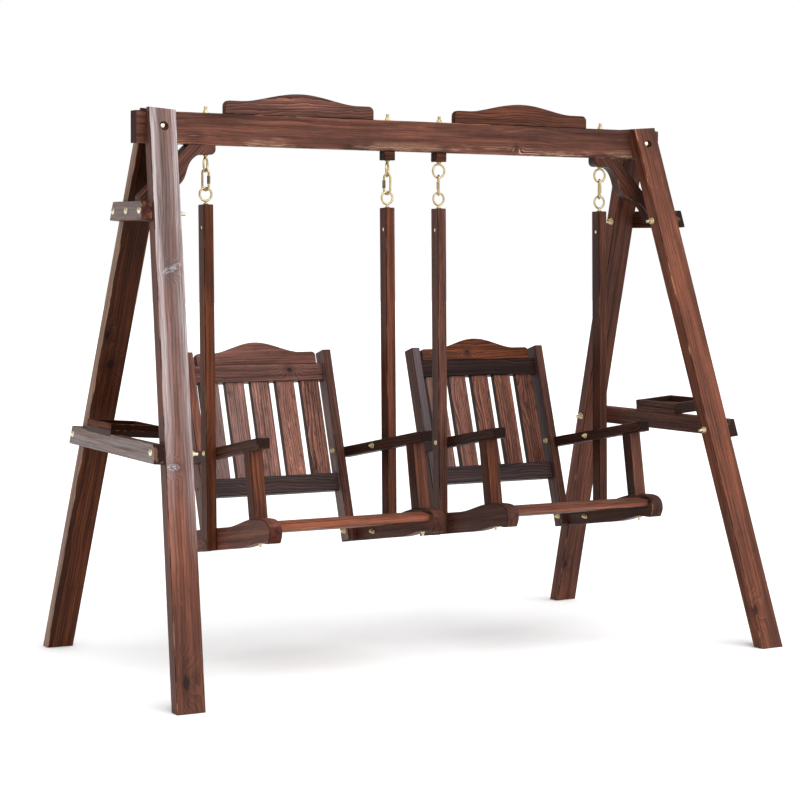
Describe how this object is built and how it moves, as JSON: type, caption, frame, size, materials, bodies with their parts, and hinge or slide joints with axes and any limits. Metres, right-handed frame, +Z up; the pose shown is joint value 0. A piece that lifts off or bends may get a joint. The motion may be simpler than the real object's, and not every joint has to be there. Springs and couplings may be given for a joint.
{
  "type": "garden swing seat",
  "caption": "Stained timber A-frame garden swing with slatted single armchairs hung side by side on eye bolts and quick links, and small trays on the end braces.",
  "frame": {"origin": "centre of the overall footprint on the ground", "axes": "+X along the beam, -Y the side the chairs face, +Z up"},
  "size_m": [2.3359, 1.2064, 1.834],
  "materials": {
    "frame_timber": "dark reddish-brown stained softwood with glossy varnish and visible grain",
    "chair_timber": "dark reddish-brown stained softwood with glossy varnish and visible grain",
    "dowel_wood": "plain beech dowel, hidden in the joints",
    "hardware": "yellow zinc-plated steel"
  },
  "bodies": {
    "frame": {"beam_crest_left": "frame_timber", "beam_crest_right": "frame_timber", "corner_bracket_left": "frame_timber", "corner_bracket_right": "frame_timber", "crest_dowels": "dowel_wood", "frame_bolts": "hardware", "frame_nuts": "hardware", "leg_front_left": "frame_timber", "leg_front_right": "frame_timber", "leg_rear_left": "frame_timber", "leg_rear_right": "frame_timber", "lower_brace_left": "frame_timber", "lower_brace_right": "frame_timber", "spacer_blocks": "frame_timber", "top_beam": "frame_timber", "tray_base_left": "frame_timber", "tray_base_right": "frame_timber", "tray_rim_left": "frame_timber", "tray_rim_right": "frame_timber", "upper_brace_left": "frame_timber", "upper_brace_right": "frame_timber", "upper_eye_bolts": "hardware"},
    "left_links": {"left_link_sleeves": "hardware", "left_quick_links": "hardware"},
    "left_chair": {"left_chair_arm_post_left": "chair_timber", "left_chair_arm_post_right": "chair_timber", "left_chair_armrest_left": "chair_timber", "left_chair_armrest_right": "chair_timber", "left_chair_back_bottom_rail": "chair_timber", "left_chair_back_crest": "chair_timber", "left_chair_back_slats": "chair_timber", "left_chair_back_top_rail": "chair_timber", "left_chair_eye_bolts": "hardware", "left_chair_fasteners": "hardware", "left_chair_post_left": "chair_timber", "left_chair_post_right": "chair_timber", "left_chair_seat_slats": "chair_timber", "left_chair_side_rail_left": "chair_timber", "left_chair_side_rail_right": "chair_timber", "left_chair_stile_left": "chair_timber", "left_chair_stile_right": "chair_timber"},
    "right_links": {"right_link_sleeves": "hardware", "right_quick_links": "hardware"},
    "right_chair": {"right_chair_arm_post_left": "chair_timber", "right_chair_arm_post_right": "chair_timber", "right_chair_armrest_left": "chair_timber", "right_chair_armrest_right": "chair_timber", "right_chair_back_bottom_rail": "chair_timber", "right_chair_back_crest": "chair_timber", "right_chair_back_slats": "chair_timber", "right_chair_back_top_rail": "chair_timber", "right_chair_eye_bolts": "hardware", "right_chair_fasteners": "hardware", "right_chair_post_left": "chair_timber", "right_chair_post_right": "chair_timber", "right_chair_seat_slats": "chair_timber", "right_chair_side_rail_left": "chair_timber", "right_chair_side_rail_right": "chair_timber", "right_chair_stile_left": "chair_timber", "right_chair_stile_right": "chair_timber"}
  },
  "joints": [
    {"name": "left_swing", "type": "hinge", "parent": "frame", "child": "left_links", "pos_m": [-0.468, 0, 1.5825], "axis": [1, 0, 0], "range_deg": [-25, 25]},
    {"name": "left_rock", "type": "hinge", "parent": "left_links", "child": "left_chair", "pos_m": [-0.468, 0, 1.5285], "axis": [1, 0, 0], "range_deg": [-12, 12]},
    {"name": "right_swing", "type": "hinge", "parent": "frame", "child": "right_links", "pos_m": [0.391, 0, 1.5785], "axis": [1, 0, 0], "range_deg": [-25, 25]},
    {"name": "right_rock", "type": "hinge", "parent": "right_links", "child": "right_chair", "pos_m": [0.391, 0, 1.5285], "axis": [1, 0, 0], "range_deg": [-12, 12]}
  ]
}
